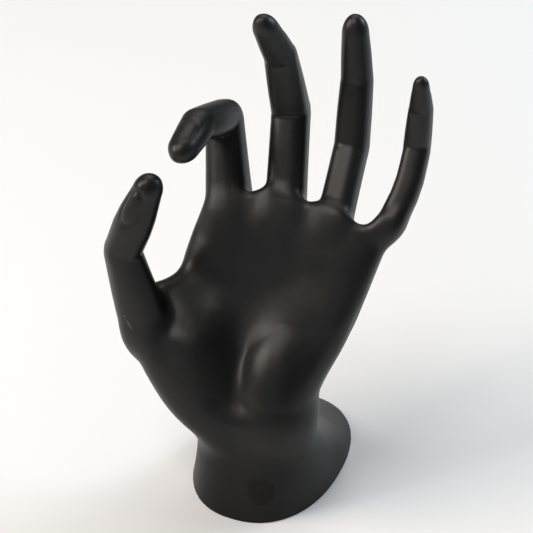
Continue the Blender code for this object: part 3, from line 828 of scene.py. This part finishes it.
# Marks of its making and use, in millimetres
# Pinholes are not cut into the surface. Each is a small spot of painted shade, a deeper black that stands
# in for the shade inside a tiny pit.
PINHOLES = (
    (-11.8, -18.0, 62.1), (-11.2, -29.5, 48.0), (-12.1, -32.8, 41.1), (3.2, 1.4, 94.9), (9.4, -30.4, 42.7),
)
PINHOLE = (0.28, 0.12)  # radius and soft rim
# colour of the painted shade in the pinholes
PINHOLE_PAINTED_SHADE = (0.003, 0.003, 0.003)
SCRATCHES = (((-42.7, -29.9, 70.8), (-42.3, -29.9, 70.0)), ((-41.9, -29.95, 69.2), (-39.9, -30.0, 65.6)))
SCRATCH_OUTWARD = (0.31, -0.77, 0.56)  # the way that the scratched flank of the thumb faces
SCRATCH_HALF = 0.2  # half its width
SCRATCH_REACH = 4.0  # how far above or under its line the flank may lie
SCRATCH_GREY = (0.12, 0.115, 0.11)
BLOTCH = (8.5, -33.8, 12.0)
BLOTCH_SIZE = (2.5, 4.0)  # radius and soft rim
BLOTCH_RAGS = 300  # patches to a metre that break up its rim
BLOTCH_GLOSS = 0.6  # how much of the gloss it leaves


def satin_black_resin():
    """Satin black over cast resin: cloudy sheen, fine orange peel, pinholes in painted shade, scratches, a
    dull blotch.
    """
    material = bpy.data.materials.new("satin_black_resin")
    material.use_nodes = True
    tree = material.node_tree
    shader = tree.nodes["Principled BSDF"]
    places = tree.nodes.new("ShaderNodeTexCoord")
    clouds = noise(tree, places, CLOUDS, 3)

    black = tree.nodes.new("ShaderNodeRGB")
    black.outputs[0].default_value = (*DEEP_BLACK, 1)
    colour = tint(tree, black.outputs[0], remap(tree, clouds, "Fac", 0.35, 0.65, 0, 1), WORN_BLACK)
    # painted shade: each pinhole darkens the colour instead of being a pit in the mesh
    pinhole_painted_shade = largest(tree, [spot(tree, places, place, *PINHOLE) for place in PINHOLES])
    colour = tint(tree, colour, pinhole_painted_shade, PINHOLE_PAINTED_SHADE)
    rubs = [streak(tree, places, *ends, SCRATCH_OUTWARD, SCRATCH_HALF) for ends in SCRATCHES]
    colour = tint(tree, colour, largest(tree, rubs), SCRATCH_GREY)
    tree.links.new(colour, shader.inputs["Base Color"])

    rags = remap(tree, noise(tree, places, BLOTCH_RAGS, 3), "Fac", 0.3, 0.6, 0.5, 1.6)
    ragged = joined(tree, "MULTIPLY", spot(tree, places, BLOTCH, *BLOTCH_SIZE), rags)
    stained = remap(tree, ragged, 0, 0.2, 0.6, 1, BLOTCH_GLOSS)
    height = tree.nodes.new("ShaderNodeSeparateXYZ")
    link(tree, places, "Object", height, 0)
    gloss = joined(tree, "MULTIPLY", stained, remap(tree, height, "Z", *GLOSS_HEIGHTS, *GLOSS))
    link(tree, gloss, 0, shader, "Specular IOR Level")
    link(tree, remap(tree, clouds, "Fac", 0.3, 0.7, *SHEEN), 0, shader, "Roughness")
    shader.inputs["IOR"].default_value = RESIN_IOR

    fine = bump(tree, noise(tree, places, GRAIN, 2), *GRAIN_BUMP)
    broad = bump(tree, noise(tree, places, PEEL, 2), *PEEL_BUMP)
    link(tree, fine, "Normal", broad, "Normal")
    link(tree, broad, "Normal", shader, "Normal")
    return material


EDGE_ANGLE = 60.0  # the rim of the foot stays sharp, being bent more than this
UNDERSIDE = -0.999  # a face whose normal points down more than this is the flat underside


def hand_stand():
    """The cast hand on its foot: a net over the plain field, moved onto it, then onto the marked one."""
    plain = hand_field()
    low = np.array([-PALM_WIDTH, -FOOT_LENGTH, -2 * BELOW])
    reach = MIDDLE_NEAR_BONE + MIDDLE_MIDDLE_BONE + MIDDLE_END_BONE + MIDDLE_TIP_WIDTH
    high = np.array([PALM_WIDTH, FOOT_LENGTH, WRIST_HEIGHT + PALM_LENGTH + reach])
    points, faces = net(plain, low, high)
    field = marked_field(plain)
    points = onto_surface(field, onto_surface(plain, points))
    mesh = bpy.data.meshes.new("cast_hand")
    mesh.from_pydata((points * MM).tolist(), [], faces.tolist())
    cut_level(mesh)
    normals = np.empty(3 * len(mesh.polygons))
    mesh.polygons.foreach_get("normal", normals)
    mesh.polygons.foreach_set("use_smooth", normals[2::3] >= UNDERSIDE)
    mesh.set_sharp_from_angle(angle=np.radians(EDGE_ANGLE))
    stand = bpy.data.objects.new("cast_hand", mesh)
    bpy.context.scene.collection.objects.link(stand)
    mesh.materials.append(satin_black_resin())
    return stand


stand = hand_stand()
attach(stand, "root")
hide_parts("hand_stand")

# The table. A wide sheet of plain pale board, bare and matte, that the stand is set down on for
# its picture. It is no part of the object.

BOARD_HALF = 3.0
BOARD_DROP = 0.0002  # keeps the board clear of the foot's underside
BOARD_WHITE = (0.9, 0.9, 0.9)
BOARD_ROUGHNESS = 0.9


def board():
    """A flat square of four corners, just under the foot."""
    mesh = bpy.data.meshes.new("table_board")
    corners = np.array([(-1, -1), (1, -1), (1, 1), (-1, 1)], float) * BOARD_HALF
    mesh.from_pydata([(x, y, -BOARD_DROP) for x, y in corners], [], [(0, 1, 2, 3)])
    piece = bpy.data.objects.new("table_board", mesh)
    bpy.context.scene.collection.objects.link(piece)
    material = bpy.data.materials.new("pale_board")
    material.use_nodes = True
    shader = material.node_tree.nodes["Principled BSDF"]
    shader.inputs["Base Color"].default_value = (*BOARD_WHITE, 1)
    shader.inputs["Roughness"].default_value = BOARD_ROUGHNESS
    mesh.materials.append(material)
    return piece


board()

# The light and the camera. A warm soft box stands on the thumb's side with a smaller one above it,
# a cool one stands behind the little finger's side, a weak one lies low in front, and a wide one
# hangs behind. The rest of the room is dim.

VIEW_SIDE = 22.0
VIEW_UP = 34.0
VIEW_DISTANCE = 0.650
VIEW_TARGET = Vector((-0.01578, 0.0325, 0.05902))
SENSOR = 36.0
VIEW_WIDTH = 0.1951  # what the picture spans at the target
NEAR_CLIP = 0.01
LIGHT_TARGET = Vector((0, 0, 0.09))  # the middle of the hand
ROOM_COLOUR = (0.86, 0.93, 1.0)
ROOM_STRENGTH = 0.1


def toward(side, up):
    """The direction toward a place that stands so many degrees aside of the front and up."""
    a, e = np.radians([side, up])
    return Vector((np.cos(e) * np.sin(a), -np.cos(e) * np.cos(a), np.sin(e)))


def light(name, side, up, distance, size, power, colour):
    """A square soft box that faces the hand."""
    lamp = bpy.data.lights.new(name, "AREA")
    lamp.shape = "SQUARE"
    lamp.size = size
    lamp.energy = power
    lamp.color = colour
    piece = bpy.data.objects.new(name, lamp)
    way = toward(side, up)
    piece.location = LIGHT_TARGET + distance * way
    piece.rotation_euler = way.to_track_quat("Z", "Y").to_euler()
    bpy.context.scene.collection.objects.link(piece)


light("warm_box", side=-62, up=32, distance=1.2, size=0.6, power=9, colour=(1.0, 0.91, 0.82))
light("top_box", side=-36, up=64, distance=1.2, size=0.5, power=5, colour=(1.0, 0.96, 0.92))
light("cool_box", side=138, up=28, distance=1.2, size=0.5, power=6, colour=(0.80, 0.90, 1.0))
light("low_box", side=-5, up=18, distance=1.2, size=0.8, power=0.6, colour=(0.78, 0.88, 1.0))
light("back_box", side=200, up=60, distance=1.3, size=1.0, power=6, colour=(1.0, 0.98, 0.95))
bpy.context.scene.view_settings.view_transform = "Standard"

world = bpy.data.worlds.new("room")
bpy.context.scene.world = world
world.use_nodes = True
world.node_tree.nodes["Background"].inputs["Color"].default_value = (*ROOM_COLOUR, 1)
world.node_tree.nodes["Background"].inputs["Strength"].default_value = ROOM_STRENGTH

lens = bpy.data.cameras.new("view")
lens.sensor_width = SENSOR
lens.lens = SENSOR * VIEW_DISTANCE / VIEW_WIDTH
lens.clip_start = NEAR_CLIP
camera = bpy.data.objects.new("view", lens)
camera.location = VIEW_TARGET + VIEW_DISTANCE * toward(VIEW_SIDE, VIEW_UP)
camera.rotation_euler = toward(VIEW_SIDE, VIEW_UP).to_track_quat("Z", "Y").to_euler()
bpy.context.scene.collection.objects.link(camera)
bpy.context.scene.camera = camera
